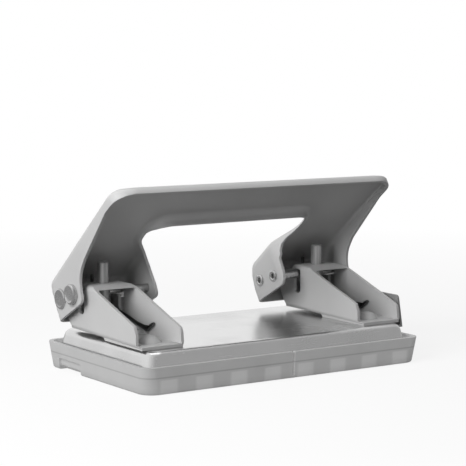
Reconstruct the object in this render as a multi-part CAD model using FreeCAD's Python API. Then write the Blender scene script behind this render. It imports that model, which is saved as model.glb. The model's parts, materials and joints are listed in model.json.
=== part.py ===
import FreeCAD, Part
import math
import os

os.makedirs("parts", exist_ok=True)

# Manual two-hole desk punch: a pressed steel lever with a hand opening drives
# two punch pins through sheet-metal brackets on a steel base over a chad tray.
# X runs along the length, -Y is the lever's open side, +Y takes the paper.
# The middle of the tray's rest face is the origin.

# Sheet and running fits
SHEET = 1.0
RUN_FIT = 0.05
SEAT_GAP = 0.02
SLIDE_GAP = 0.15
OVERRUN = 4.0

# Holes in the paper
HOLE_SPACING = 80.0
PAPER_EDGE = 12.0
THROAT = 1.05

# Chad tray
TRAY_END = 10.2
TRAY_FRONT = 18.6
TRAY_BACK = 41.6
TRAY_HEIGHT = 8.1
TRAY_WALL = 1.3
TRAY_CORNER = 3.6
TRAY_FOOT_CORNER = 5.2
TRAY_DRAFT = 1.1
TRAY_FOOT_ROUND = 0.8
TRAY_SPLIT = 0.7
TRAY_SPLIT_X = 1.5
TRAY_SPLIT_Z = 0.9
RIB_DEPTH = 2.4
RIB_WIDTHS_SHARES = ((0.93, 0.05), (0.57, 0.06), (0.21, 0.035))
GRIP_LENGTH = 13.0
GRIP_INSET = 15.1
GRIP_HEIGHT = 3.5
GRIP_DEPTH = 0.6
GRIP_NOTCH = 1.3

# Steel base pan
SKIRT_DEPTH = 3.1
BASE_HEIGHT = 6.9
BASE_GAP = 0.4
BASE_LEAN = 1.6
BASE_CORNER = 4.6
BASE_ROUND = 2.3
BASE_SHEET = 0.9

# Brackets
BRACKET_WIDTH = 14.8
BRACKET_HEIGHT = 15.3
BRACKET_INSET = 7.1
BRACKET_BEND = 1.6
SLOPE_FOOT = 5.5
SLOPE_FOOT_Y = 0.7
SLOPE_FOOT_ROUND = 2.2
NEAR_PLATE_BACK = 2.7
NEAR_PLATE_BEVEL = 1.3
SLOPE_TOP_Y = 5.4
LIFT = 1.0
NOSE_REACH = 3.6
TOE_BACK = 0.8
TOE_HEIGHT = 2.0
SLOT_TOP_GAP = 0.3
SLOT_SIDE_GAP = 0.2
TOP_FRONT = 3.1
LEG_NOTCH = 2.6

# Rivets
RIVET_INSET = 7.4
RIVET_HEAD_R = 3.5
RIVET_HEAD = 2.0
RIVET_SHANK_R = 1.6
RIVET_TAIL_R = 2.5
RIVET_TAIL = 0.8
WASHER_R = 3.4
WASHER = 0.6

# Lever
LEVER_END = 10.2
PIVOT_AHEAD = 7.9
PIVOT_LIFT = 10.2
WEB_TILT = 38.6
WEB_STANDOFF = 8.0
HANDLE_REACH = 49.7
LEVER_CORNER = 7.5
LEG_WIDTH = 26.2
HAND_FLARE = 5.5
HANDLE_DEPTH = 18.8
HAND_SHARES = (0.372, 0.663, 0.2265)
PRESS_ROUND = 3.2
PRESS_SHARES = (
    (-0.139, -0.560, 0.0), (-0.130, -0.011, 0.5), (-0.100, 0.58, 0.5), (-0.045, 1.0, 0.45),
    (1.0, 1.0, 0.0))
TRIM_SHARES = (
    (1.0, 0.54, 0.0), (0.80, 0.575, 1.2), (0.40, 0.20, 1.2), (0.29, -0.05, 1.1),
    (0.245, -0.47, 0.9), (0.222, -0.84, 0.24), (0.195, -0.955, 0.24))
EAR_CORNERS = 3
EAR_CUT_SHARES = (
    (0.236, -2.40), (0.245, -0.95), (0.236, -0.80), (0.252, 0.05), (0.285, 0.32),
    (0.34, 0.42), (0.42, 0.46), (0.66, 0.47), (0.66, -2.40))

# Drive and pivot pins
PIN_R = 1.25
HEAD_R = 3.1
PIVOT_HEAD = 0.7
DRIVE_HEAD = 1.5
HEAD_EDGE = 0.35
CLINCH_R = 1.85
CLINCH = 0.55
CLINCH_BORE = 0.75
CLINCH_DEPTH = 1.2
DRIVE_BACK = 7.5
DRIVE_RISE = 2.3

# Punch pins
PUNCH_R = 2.75
PUNCH_BODY_R = 2.2
PUNCH_SHANK_R = 1.75
PUNCH_PROUD = 6.4
PUNCH_TIP_LIFT = 0.45
PUNCH_CUTTER = 4.6
PUNCH_TAPER = 0.8
PUNCH_NOTCH = 1.1
PUNCH_CHAMFER = 0.3

# Springs
WIRE_R = 0.5
COIL_R = 3.0
COIL_PITCH = 1.45
COIL_TURNS = 2
COIL_WALL_GAP = 0.35
SPRING_REACH = 22.5
SPRING_FOOT = 1.6
HOOK_R = 1.15
SPRING_TIP_GAP = 0.35

# Paper gauge
GAUGE_SHEET = 0.8
GAUGE_BACK = 6.7
GAUGE_FRONT = 6.7
GAUGE_WINDOW = 3.4
GAUGE_TRAVEL = 30.0
GAUGE_LIP = 0.45
GAUGE_END_GAP = 3.0
GAUGE_OUT = 1.9
TAB_HEIGHT = 9.9
TAB_INSET = 8.0
TAB_LEAN = 2.0
TAB_FRONT_GAP = 3.2
TAB_ROUND = 1.2

# Straps that carry the gauge under the base
GUIDE_X_SHARE = 0.72
GUIDE_WIDTH = 6.0
GUIDE_SHEET = 0.6
GUIDE_FOOT = 3.5

# Worked out from the sizes above
TRAY_LENGTH = HOLE_SPACING + 2 * TRAY_END
TRAY_DEPTH = TRAY_FRONT + TRAY_BACK
PUNCH_Y = (TRAY_BACK - TRAY_FRONT) / 2
SKIRT_SEAT = TRAY_HEIGHT - SKIRT_DEPTH
TRAY_AT_SEAT = TRAY_DRAFT * (1 - SKIRT_SEAT / TRAY_HEIGHT) + TRAY_WALL + BASE_GAP
BASE_LOW_HALF = TRAY_LENGTH / 2 - TRAY_AT_SEAT
BASE_LOW_DEPTH = TRAY_DEPTH / 2 - TRAY_AT_SEAT
BASE_TOP = SKIRT_SEAT + BASE_HEIGHT
BRACKET_TOP = BASE_TOP + BRACKET_HEIGHT
BRACKET_REAR = BRACKET_INSET - TRAY_DEPTH / 2
RIVET_Y = BRACKET_REAR + RIVET_INSET
STOP_Y = PUNCH_Y - PAPER_EDGE
FLOOR_LOW = BASE_TOP + THROAT
FLOOR_HIGH = FLOOR_LOW + SHEET
PIVOT_Y = PUNCH_Y + PIVOT_AHEAD
PIVOT_Z = BASE_TOP + PIVOT_LIFT
DRIVE_Y = PIVOT_Y - DRIVE_BACK
DRIVE_Z = PIVOT_Z + DRIVE_RISE
CRANK = math.hypot(DRIVE_BACK, DRIVE_RISE)
TRAVEL = 2 * DRIVE_RISE
SWING = 2 * math.asin(DRIVE_RISE / CRANK)
PIN_SWING = CRANK - DRIVE_BACK
PUNCH_TOP = BRACKET_TOP + PUNCH_PROUD
EAR_OUTER = HOLE_SPACING / 2 + LEVER_END
EAR_INNER = EAR_OUTER - LEG_WIDTH
HAND_HALF = EAR_INNER + HAND_FLARE
HAND_TOP = HANDLE_REACH - HANDLE_DEPTH
SIDES = ((-1, "left"), (1, "right"))

X_AXIS = FreeCAD.Vector(1, 0, 0)
Z_AXIS = FreeCAD.Vector(0, 0, 1)


def point(x, y, z):
    return FreeCAD.Vector(x, y, z)


# Lever axes in the side view: up the web, and out through it
def web_up():
    return point(0, -math.cos(math.radians(WEB_TILT)), math.sin(math.radians(WEB_TILT)))


def web_out():
    return point(0, math.sin(math.radians(WEB_TILT)), math.cos(math.radians(WEB_TILT)))


def web_point(x, up, out):
    return point(x, PIVOT_Y, PIVOT_Z) + web_up() * up + web_out() * out


# A closed outline with rounded corners
def outline(corners, radii):
    count = len(corners)
    edges = []
    starts = []
    ends = []
    middles = []
    for i in range(count):
        here = corners[i]
        before = corners[i - 1] - here
        after = corners[(i + 1) % count] - here
        half = before.getAngle(after) / 2
        radius = radii[i]
        if radius <= 0:
            starts.append(here)
            ends.append(here)
            middles.append(None)
            continue
        trim = radius / math.tan(half)
        before.normalize()
        after.normalize()
        bisector = before + after
        bisector.normalize()
        starts.append(here + before * trim)
        ends.append(here + after * trim)
        middles.append(here + bisector * (radius / math.sin(half) - radius))
    for i in range(count):
        if middles[i] is not None:
            edges.append(Part.Arc(starts[i], middles[i], ends[i]).toShape())
        following = starts[(i + 1) % count]
        if ends[i].distanceToPoint(following) > RUN_FIT / 100:
            edges.append(Part.makeLine(ends[i], following))
    return Part.Wire(edges)


def prism(corners, radii, run):
    return Part.Face(outline(corners, radii)).extrude(run)


# Move each side of a flat outline inwards by its own distance
def inset(points, distances):
    count = len(points)
    area = sum(points[i][0] * points[(i + 1) % count][1] - points[(i + 1) % count][0] * points[i][1]
               for i in range(count))
    turn = 1 if area > 0 else -1
    lines = []
    for i in range(count):
        (x0, y0), (x1, y1) = points[i], points[(i + 1) % count]
        length = math.hypot(x1 - x0, y1 - y0)
        dx, dy = (x1 - x0) / length, (y1 - y0) / length
        lines.append((x0 - dy * turn * distances[i], y0 + dx * turn * distances[i], dx, dy))
    moved = []
    for i in range(count):
        ax, ay, adx, ady = lines[i - 1]
        bx, by, bdx, bdy = lines[i]
        cross = adx * bdy - ady * bdx
        along = ((bx - ax) * bdy - (by - ay) * bdx) / cross
        moved.append((ax + adx * along, ay + ady * along))
    return moved


def block(x0, x1, y0, y1, z0, z1):
    return Part.makeBox(x1 - x0, y1 - y0, z1 - z0, point(x0, y0, z0))


def save(shape, node):
    shape.exportStep("parts/" + node + ".step")


# Rounded rectangle at one height
def ring(half_x, half_y, corner, z):
    corners = [point(-half_x, -half_y, z), point(half_x, -half_y, z),
               point(half_x, half_y, z), point(-half_x, half_y, z)]
    return outline(corners, [corner] * 4)


# Chad tray: drafted tub, ribs that carry the base, grip and split
def make_tray():
    half_x = TRAY_LENGTH / 2
    half_y = TRAY_DEPTH / 2
    low = ring(half_x - TRAY_DRAFT, half_y - TRAY_DRAFT, TRAY_FOOT_CORNER, 0)
    high = ring(half_x, half_y, TRAY_CORNER, TRAY_HEIGHT)
    shell = Part.makeLoft([low, high], True, True)
    foot = [e for e in shell.Edges if e.BoundBox.ZMax < TRAY_FOOT_ROUND]
    shell = shell.makeFillet(TRAY_FOOT_ROUND, foot)
    slope = TRAY_DRAFT / TRAY_HEIGHT
    rise = TRAY_HEIGHT + OVERRUN - TRAY_WALL
    inner_low = TRAY_DRAFT - slope * TRAY_WALL + TRAY_WALL
    inner_high = inner_low - slope * rise
    hollow = Part.makeLoft([
        ring(half_x - inner_low, half_y - inner_low, TRAY_FOOT_CORNER - TRAY_WALL, TRAY_WALL),
        ring(half_x - inner_high, half_y - inner_high, TRAY_CORNER - TRAY_WALL, TRAY_WALL + rise)],
        True, True)
    ribs = []
    for share, width_share in RIB_WIDTHS_SHARES:
        for side in (-1, 1):
            middle = side * share * half_x
            width = width_share * TRAY_LENGTH
            ribs.append(block(middle - width / 2, middle + width / 2, -half_y, -half_y + TRAY_WALL
                              + RIB_DEPTH, 0, SKIRT_SEAT))
            ribs.append(block(middle - width / 2, middle + width / 2, half_y - TRAY_WALL
                              - RIB_DEPTH, half_y, 0, SKIRT_SEAT))
    tub = shell.cut(hollow)
    tub = tub.fuse([shell.common(r) for r in ribs]).removeSplitter()
    split = block(TRAY_SPLIT_X - TRAY_SPLIT / 2, TRAY_SPLIT_X + TRAY_SPLIT / 2,
                  -half_y - OVERRUN, -half_y + TRAY_WALL + TRAY_DRAFT + RUN_FIT,
                  TRAY_SPLIT_Z, TRAY_HEIGHT + OVERRUN)
    grip_y = half_y - GRIP_INSET
    grip = block(-half_x - OVERRUN, -half_x + TRAY_DRAFT + GRIP_DEPTH,
                 grip_y - GRIP_LENGTH / 2, grip_y + GRIP_LENGTH / 2, -OVERRUN, GRIP_HEIGHT)
    notch = block(-half_x - OVERRUN, -half_x + TRAY_DRAFT + TRAY_WALL + TRAY_WALL,
                  grip_y - GRIP_LENGTH / 2, grip_y + GRIP_LENGTH / 2, -OVERRUN, GRIP_NOTCH)
    return tub.cut(split).cut(grip).cut(notch)


# Steel base: pressed pan with leaning sides, die holes and the gauge's slot
def make_base():
    lean = BASE_LEAN

    def pan(trim, top, low):
        part = (top - low) / BASE_HEIGHT
        body = Part.makeLoft([
            ring(BASE_LOW_HALF - trim, BASE_LOW_DEPTH - trim, BASE_CORNER - trim, low),
            ring(BASE_LOW_HALF - trim - lean * part, BASE_LOW_DEPTH - trim - lean * part,
                 BASE_CORNER - trim, top)], True, True)
        edges = [e for e in body.Edges if e.BoundBox.ZMin > top - SEAT_GAP]
        return body.makeFillet(BASE_ROUND - trim, edges)

    body = pan(0, BASE_TOP, SKIRT_SEAT)
    hollow = pan(BASE_SHEET, BASE_TOP - BASE_SHEET, SKIRT_SEAT)
    below = ring(BASE_LOW_HALF - BASE_SHEET, BASE_LOW_DEPTH - BASE_SHEET,
                 BASE_CORNER - BASE_SHEET, SKIRT_SEAT)
    hollow = hollow.fuse(Part.Face(below).extrude(point(0, 0, -OVERRUN)))
    body = body.cut(hollow)
    for side, name in SIDES:
        x = side * HOLE_SPACING / 2
        die = Part.makeCylinder(PUNCH_R + RUN_FIT, OVERRUN, point(x, PUNCH_Y, BASE_TOP - OVERRUN / 2))
        rivet = Part.makeCylinder(RIVET_SHANK_R + SEAT_GAP, OVERRUN,
                                  point(x, RIVET_Y, BASE_TOP - OVERRUN / 2))
        body = body.cut(die).cut(rivet)
    slot = block(0, TRAY_LENGTH, PUNCH_Y - GAUGE_BACK - SLIDE_GAP,
                 PUNCH_Y + GAUGE_FRONT + SLIDE_GAP,
                 BASE_TOP - BASE_SHEET - SLIDE_GAP - GAUGE_SHEET, BASE_TOP - BASE_SHEET)
    return body.cut(slot)


# Bracket: side plates and top folded from one sheet, floor stepped up for the paper
def make_bracket(side):
    x = side * HOLE_SPACING / 2
    half = BRACKET_WIDTH / 2
    front = PIVOT_Y + NOSE_REACH
    toe_y = PIVOT_Y - TOE_BACK
    corners = [
        (BRACKET_REAR, BASE_TOP),
        (toe_y, BASE_TOP + LIFT),
        (toe_y + TOE_HEIGHT, BASE_TOP + LIFT + TOE_HEIGHT),
        (front - TOE_BACK / 2, PIVOT_Z - NOSE_REACH),
        (front, PIVOT_Z + NOSE_REACH / 2),
        (PIVOT_Y + NOSE_REACH / 2, BRACKET_TOP),
        (PUNCH_Y - SLOPE_TOP_Y, BRACKET_TOP),
        (BRACKET_REAR + SLOPE_FOOT_Y, BASE_TOP + SLOPE_FOOT)]
    radii = [0, SHEET / 2, SHEET, SHEET, SHEET, SHEET, 0, SLOPE_FOOT_ROUND]
    left = x - half
    body = prism([point(left, a, b) for a, b in corners], radii, X_AXIS * BRACKET_WIDTH)
    tops = [e for e in body.Edges if e.BoundBox.ZMin > BRACKET_TOP - SEAT_GAP
            and e.BoundBox.YLength > SHEET]
    body = body.makeFillet(BRACKET_BEND, tops)
    cave = block(left + SHEET, left + BRACKET_WIDTH - SHEET, BRACKET_REAR - OVERRUN,
                 front + OVERRUN, BASE_TOP - OVERRUN, BRACKET_TOP - SHEET)
    upper = [e for e in cave.Edges if e.BoundBox.ZMin > BRACKET_TOP - SHEET - SEAT_GAP
             and e.BoundBox.YLength > SHEET]
    cave = cave.makeFillet(BRACKET_BEND - SHEET, upper)
    shell = body.cut(cave)
    brow = block(left - OVERRUN, left + BRACKET_WIDTH + OVERRUN, PUNCH_Y + TOP_FRONT,
                 front + OVERRUN, BRACKET_TOP - BRACKET_BEND, BRACKET_TOP + OVERRUN)
    shell = shell.cut(brow)
    floor_side = [
        (BRACKET_REAR, BASE_TOP), (STOP_Y - SHEET, BASE_TOP), (STOP_Y, FLOOR_LOW),
        (toe_y, FLOOR_LOW), (toe_y, FLOOR_HIGH), (STOP_Y - SHEET, FLOOR_HIGH),
        (STOP_Y - SHEET - SHEET, BASE_TOP + SHEET), (BRACKET_REAR, BASE_TOP + SHEET)]
    floor = prism([point(left + SHEET / 2, a, b) for a, b in floor_side], [0] * 8,
                  X_AXIS * (BRACKET_WIDTH - SHEET))
    shell = shell.fuse(floor).removeSplitter()
    far = left + BRACKET_WIDTH
    slot_half = PIN_R + SLOT_SIDE_GAP
    slot_top = DRIVE_Z + PIN_R + SLOT_TOP_GAP
    slot_low = DRIVE_Z - TRAVEL - PIN_R - SLOT_TOP_GAP
    slot_rear = DRIVE_Y - slot_half - PIN_SWING
    slot = prism([point(left - OVERRUN, slot_rear, slot_low),
                  point(left - OVERRUN, DRIVE_Y + slot_half, slot_low),
                  point(left - OVERRUN, DRIVE_Y + slot_half, slot_top),
                  point(left - OVERRUN, slot_rear, slot_top)],
                 [slot_half * 0.8, slot_half * 0.8, slot_half * 0.4, slot_half * 0.4],
                 X_AXIS * (BRACKET_WIDTH + 2 * OVERRUN))
    pivot = Part.makeCylinder(PIN_R + RUN_FIT, BRACKET_WIDTH + 2 * OVERRUN,
                              point(left - OVERRUN, PIVOT_Y, PIVOT_Z), X_AXIS)
    shank = Part.makeCylinder(PUNCH_SHANK_R + RUN_FIT, OVERRUN,
                              point(x, PUNCH_Y, BRACKET_TOP - SHEET - OVERRUN / 2))
    cutter = Part.makeCylinder(PUNCH_R + RUN_FIT, OVERRUN, point(x, PUNCH_Y, FLOOR_LOW - OVERRUN / 4))
    rivet = Part.makeCylinder(RIVET_SHANK_R + SEAT_GAP, OVERRUN,
                              point(x, RIVET_Y, BASE_TOP - OVERRUN / 2))
    near_rear = BRACKET_REAR + NEAR_PLATE_BACK
    foot_z = BASE_TOP + SLOPE_FOOT
    near = prism([point(left - OVERRUN, BRACKET_REAR - OVERRUN, BASE_TOP + SHEET),
                  point(left - OVERRUN, near_rear, BASE_TOP + SHEET),
                  point(left - OVERRUN, near_rear, foot_z - NEAR_PLATE_BEVEL),
                  point(left - OVERRUN, near_rear + NEAR_PLATE_BEVEL, foot_z + NEAR_PLATE_BEVEL),
                  point(left - OVERRUN, BRACKET_REAR - OVERRUN, foot_z + NEAR_PLATE_BEVEL)],
                 [0] * 5, X_AXIS * (OVERRUN + SHEET))
    leg = block(far - SHEET - LEG_NOTCH, far - SHEET, PUNCH_Y + PUNCH_SHANK_R,
                front + OVERRUN, BRACKET_TOP - BRACKET_BEND, BRACKET_TOP + OVERRUN)
    for tool in (slot, pivot, shank, cutter, rivet, near, leg):
        shell = shell.cut(tool)
    return shell


# Domed rivet with its shank and upset tail
def make_rivet(side):
    x = side * HOLE_SPACING / 2
    seat = BASE_TOP + SHEET
    tail = BASE_TOP - BASE_SHEET - WASHER
    dome_r = (RIVET_HEAD_R ** 2 + RIVET_HEAD ** 2) / (2 * RIVET_HEAD)
    rim = point(x + RIVET_HEAD_R, RIVET_Y, seat)
    half_turn = math.asin(RIVET_HEAD_R / dome_r) / 2
    middle = point(x + dome_r * math.sin(half_turn), RIVET_Y,
                   seat + RIVET_HEAD - dome_r + dome_r * math.cos(half_turn))
    crown = point(x, RIVET_Y, seat + RIVET_HEAD)
    path = [Part.Arc(rim, middle, crown).toShape()]
    stops = [crown, point(x, RIVET_Y, tail - RIVET_TAIL),
             point(x + RIVET_TAIL_R, RIVET_Y, tail - RIVET_TAIL),
             point(x + RIVET_TAIL_R, RIVET_Y, tail), point(x + RIVET_SHANK_R, RIVET_Y, tail),
             point(x + RIVET_SHANK_R, RIVET_Y, seat), rim]
    for a, b in zip(stops[:-1], stops[1:]):
        path.append(Part.makeLine(a, b))
    return Part.Face(Part.Wire(path)).revolve(point(x, RIVET_Y, 0), Z_AXIS, 360)


# Lever: one deep pressing, drawn over a block, then trimmed and pierced
def side_sizes(shares):
    return [(a * HANDLE_REACH, b * WEB_STANDOFF) for a, b, r in shares]


# A point beyond the first of two, on their line
def beyond(first, second, reach):
    stretch = reach / math.hypot(first[0] - second[0], first[1] - second[1])
    return (first[0] + (first[0] - second[0]) * stretch, first[1] + (first[1] - second[1]) * stretch)


# Edges where the pressing turns from its front faces to its side walls
def drawn_edges(body):
    front = []
    for face in body.Faces:
        u0, u1, v0, v1 = face.ParameterRange
        normal = face.normalAt((u0 + u1) / 2, (v0 + v1) / 2)
        if abs(normal.x) < SEAT_GAP and normal.dot(web_out()) > SEAT_GAP:
            front.append(face)
    return [edge for edge in body.Edges
            if sum(any(edge.isSame(other) for other in face.Edges) for face in front) == 1]


def drawn_block(wall):
    flat = side_sizes(PRESS_SHARES)
    radii = [max(r * WEB_STANDOFF - wall, 0) for a, b, r in PRESS_SHARES]
    toe = beyond(flat[0], flat[1], OVERRUN)
    flat = [toe] + flat[1:] + [(HANDLE_REACH, -HANDLE_REACH), (toe[0], -HANDLE_REACH)]
    flat = inset(flat, [wall] * len(PRESS_SHARES) + [0, 0])
    half = EAR_OUTER - wall
    body = prism([web_point(-half, a, b) for a, b in flat], radii + [0, 0], X_AXIS * (2 * half))
    reach = HANDLE_REACH - wall
    corner = LEVER_CORNER - wall
    plan = [(-half, -HANDLE_REACH), (half, -HANDLE_REACH), (half, reach), (-half, reach)]
    plate = prism([web_point(a, b, -HANDLE_REACH) for a, b in plan], [0, 0, corner, corner],
                  web_out() * (HANDLE_REACH * 2))
    ear = EAR_INNER + wall
    hand = HAND_HALF + wall
    top = HAND_TOP + wall
    neck_low, neck_high, bend = [share * HAND_TOP for share in HAND_SHARES]
    corner = bend + wall
    hole = [(-ear, -HANDLE_REACH), (ear, -HANDLE_REACH), (ear, neck_low),
            (hand, neck_high), (hand, top), (-hand, top), (-hand, neck_high), (-ear, neck_low)]
    opening = prism([web_point(a, b, -HANDLE_REACH) for a, b in hole],
                    [0, 0, bend, bend, corner, corner, bend, bend],
                    web_out() * (HANDLE_REACH * 2))
    block = body.common(plate).cut(opening)
    return block.makeFillet(PRESS_ROUND - wall, drawn_edges(block))


def make_lever():
    lever = drawn_block(0).cut(drawn_block(SHEET))
    half = EAR_OUTER + OVERRUN
    toe = side_sizes(PRESS_SHARES)[0]
    flat = side_sizes(TRIM_SHARES)
    low = beyond(toe, flat[-1], OVERRUN)
    proud = WEB_STANDOFF + OVERRUN
    sides = flat + [low, (low[0], proud), (HANDLE_REACH + OVERRUN, proud),
                    (HANDLE_REACH + OVERRUN, flat[0][1])]
    radii = [r * WEB_STANDOFF for a, b, r in TRIM_SHARES] + [0, 0, 0, 0]
    kept = prism([web_point(-half, a, b) for a, b in sides], radii, X_AXIS * (2 * half))
    lever = lever.common(kept)
    cut_corners = [web_point(-HAND_HALF - OVERRUN, a * HANDLE_REACH, b * WEB_STANDOFF)
                   for a, b in EAR_CUT_SHARES]
    lever = lever.cut(prism(cut_corners, [0] * len(cut_corners), X_AXIS * (2 * (HAND_HALF + OVERRUN))))
    for y, z in ((PIVOT_Y, PIVOT_Z), (DRIVE_Y, DRIVE_Z)):
        hole = Part.makeCylinder(PIN_R + SEAT_GAP, 2 * half, point(-half, y, z), X_AXIS)
        lever = lever.cut(hole)
    return lever


# Headed pin from the outer arm to the inner arm, clinched over a hollow end
def make_pin(side, y, z, head):
    outer = side * EAR_OUTER
    inner = side * EAR_INNER
    inward = X_AXIS * -side
    length = abs(outer - inner)
    pin = Part.makeCylinder(PIN_R, length, point(outer, y, z), inward)
    disc = Part.makeCylinder(HEAD_R, head, point(outer + side * head, y, z), inward)
    rim = [e for e in disc.Edges if abs(e.BoundBox.XMin - outer - side * head) < SEAT_GAP
           and abs(e.BoundBox.XMax - outer - side * head) < SEAT_GAP]
    disc = disc.makeChamfer(HEAD_EDGE, rim)
    clinch = Part.makeCone(CLINCH_R, CLINCH_R - CLINCH / 2, CLINCH, point(inner, y, z), inward)
    bore = Part.makeCylinder(CLINCH_BORE, CLINCH_DEPTH + CLINCH,
                             point(inner - side * CLINCH, y, z), X_AXIS * side)
    return pin.fuse([disc, clinch]).cut(bore).removeSplitter()


# Washer between the base's underside and the rivet's tail
def make_rivet_washer(side):
    x = side * HOLE_SPACING / 2
    under = BASE_TOP - BASE_SHEET
    washer = Part.makeCylinder(WASHER_R, WASHER, point(x, RIVET_Y, under - WASHER))
    return washer.cut(Part.makeCylinder(RIVET_SHANK_R + SEAT_GAP, 2 * OVERRUN,
                                        point(x, RIVET_Y, under - OVERRUN)))


# Strap spot-welded under the base that carries the gauge strip
def make_gauge_guide(side):
    under = BASE_TOP - BASE_SHEET
    channel = under - GAUGE_SHEET - SLIDE_GAP
    low = channel - GUIDE_SHEET
    x = side * GUIDE_X_SHARE * HOLE_SPACING / 2
    back = PUNCH_Y - GAUGE_BACK - SLIDE_GAP
    front = PUNCH_Y + GAUGE_FRONT + SLIDE_GAP
    path = [(back - GUIDE_FOOT, under), (back - GUIDE_FOOT, under - GUIDE_SHEET),
            (back - GUIDE_SHEET, under - GUIDE_SHEET), (back - GUIDE_SHEET, low),
            (front + GUIDE_SHEET, low), (front + GUIDE_SHEET, under - GUIDE_SHEET),
            (front + GUIDE_FOOT, under - GUIDE_SHEET), (front + GUIDE_FOOT, under),
            (front, under), (front, channel), (back, channel), (back, under)]
    return prism([point(x - GUIDE_WIDTH / 2, a, b) for a, b in path], [0] * len(path),
                 X_AXIS * GUIDE_WIDTH)


# Stepped punch with a hollow-ground tip and a slotted cross hole
def make_punch(side):
    x = side * HOLE_SPACING / 2
    tip = FLOOR_LOW + PUNCH_TIP_LIFT
    shoulder = BRACKET_TOP - SHEET - SLOT_TOP_GAP
    half = [(0, tip), (PUNCH_R, tip), (PUNCH_R, tip + PUNCH_CUTTER),
            (PUNCH_BODY_R, tip + PUNCH_CUTTER + PUNCH_TAPER), (PUNCH_BODY_R, shoulder),
            (PUNCH_SHANK_R, shoulder), (PUNCH_SHANK_R, PUNCH_TOP - PUNCH_CHAMFER),
            (PUNCH_SHANK_R - PUNCH_CHAMFER, PUNCH_TOP), (0, PUNCH_TOP)]
    wire = Part.makePolygon([point(x + a, PUNCH_Y, b) for a, b in half + [half[0]]])
    punch = Part.Face(wire).revolve(point(x, PUNCH_Y, 0), Z_AXIS, 360)
    hole = prism([point(x - OVERRUN, DRIVE_Y - PIN_R - PIN_SWING - RUN_FIT, DRIVE_Z - PIN_R - RUN_FIT),
                  point(x - OVERRUN, DRIVE_Y + PIN_R + RUN_FIT, DRIVE_Z - PIN_R - RUN_FIT),
                  point(x - OVERRUN, DRIVE_Y + PIN_R + RUN_FIT, DRIVE_Z + PIN_R + RUN_FIT),
                  point(x - OVERRUN, DRIVE_Y - PIN_R - PIN_SWING - RUN_FIT, DRIVE_Z + PIN_R + RUN_FIT)],
                 [PIN_R] * 4, X_AXIS * (2 * OVERRUN))
    grind = Part.makeCylinder(PUNCH_R * 1.6, 2 * PUNCH_R + OVERRUN,
                              point(x - PUNCH_R - OVERRUN / 2, PUNCH_Y,
                                    tip + PUNCH_NOTCH - PUNCH_R * 1.6), X_AXIS)
    return punch.cut(hole).cut(grind)


# Arc that leaves one point along a direction and ends at another point
def leaving_arc(start, heading, end):
    chord = end - start
    normal = chord - heading * chord.dot(heading)
    normal.normalize()
    radius = chord.dot(chord) / (2 * chord.dot(normal))
    centre = start + normal * radius
    spread = (start - centre) + (end - centre)
    spread.normalize()
    return Part.Arc(start, centre + spread * radius, end).toShape()


def biarc(start, first, end, last):
    gap = end - start
    both = first + last
    twist = 2 * (1 - first.dot(last))
    reach = (-gap.dot(both) + math.sqrt(gap.dot(both) ** 2 + twist * gap.dot(gap))) / twist
    joint = (start + end + (first - last) * reach) * 0.5
    back = leaving_arc(end, last * -1, joint)
    turned = back.copy()
    turned.reverse()
    return [leaving_arc(start, first, joint), turned]


# Torsion spring: coil round the pivot pin, foot along the floor, leg up to the web
def spring_path(side):
    x = side * HOLE_SPACING / 2
    wall = x + BRACKET_WIDTH / 2 - SHEET
    first_x = wall - COIL_WALL_GAP - WIRE_R
    foot = point(0, PUNCH_Y - SPRING_REACH + HOOK_R, BASE_TOP + SHEET + SPRING_FOOT)
    dy = PIVOT_Y - foot.y
    dz = PIVOT_Z - foot.z
    away = math.hypot(dy, dz)
    slope = math.atan2(dz, dy) - math.asin(COIL_R / away)
    first = -math.pi / 2 + slope
    quarter_x = COIL_PITCH / 4
    quarters = 4 * COIL_TURNS + 1

    def coil_point(step):
        turn = first + step * math.pi / 2
        return point(first_x - quarter_x * step, PIVOT_Y + COIL_R * math.cos(turn),
                     PIVOT_Z + COIL_R * math.sin(turn))

    def coil_heading(step):
        turn = first + step * math.pi / 2
        heading = point(-quarter_x / (math.pi / 2), -COIL_R * math.sin(turn), COIL_R * math.cos(turn))
        heading.normalize()
        return heading

    edges = []
    start = coil_point(0)
    run_back = point(0, -math.cos(slope), -math.sin(slope))
    heading = coil_heading(0)
    straight = math.sqrt(away ** 2 - COIL_R ** 2)
    heel = start - heading * (straight * 0.12) + run_back * (straight * 0.80)
    lead = heel + point(0, math.cos(slope), math.sin(slope)) * (straight * 0.70)
    hook_side = point(0, math.sin(slope), -math.cos(slope)) * -1
    hook_top = heel + hook_side * (2 * HOOK_R)
    hook_mid = heel + hook_side * HOOK_R + run_back * HOOK_R
    end_tip = hook_top - run_back * HOOK_R
    edges.append(Part.makeLine(end_tip, hook_top))
    edges.append(Part.Arc(hook_top, hook_mid, heel).toShape())
    edges.append(Part.makeLine(heel, lead))
    forward = run_back * -1
    edges += biarc(lead, forward, start, heading)
    for step in range(quarters):
        edges += biarc(coil_point(step), coil_heading(step), coil_point(step + 1),
                       coil_heading(step + 1))
    leg_start = coil_point(quarters)
    heading = coil_heading(quarters)
    web_in = WEB_STANDOFF - SHEET - SPRING_TIP_GAP - WIRE_R
    out = web_out()
    axis = point(leg_start.x, PIVOT_Y, PIVOT_Z)
    gap = web_in - (leg_start - axis).dot(out)
    leg_end = leg_start + heading * (gap / heading.dot(out))
    edges.append(Part.makeLine(leg_start, leg_end))
    return edges


# Least clear gap between the wire and itself, past one turn as tight as the wire
def least_gap(path):
    points = path.discretize(Number=math.ceil(path.Length / WIRE_R) * 2)
    step = path.Length / (len(points) - 1)
    skip = math.ceil(2 * math.pi * WIRE_R / step)
    nearest = min(points[i].distanceToPoint(points[j]) for i in range(len(points))
                  for j in range(i + skip, len(points)))
    return nearest - 2 * WIRE_R


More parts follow.
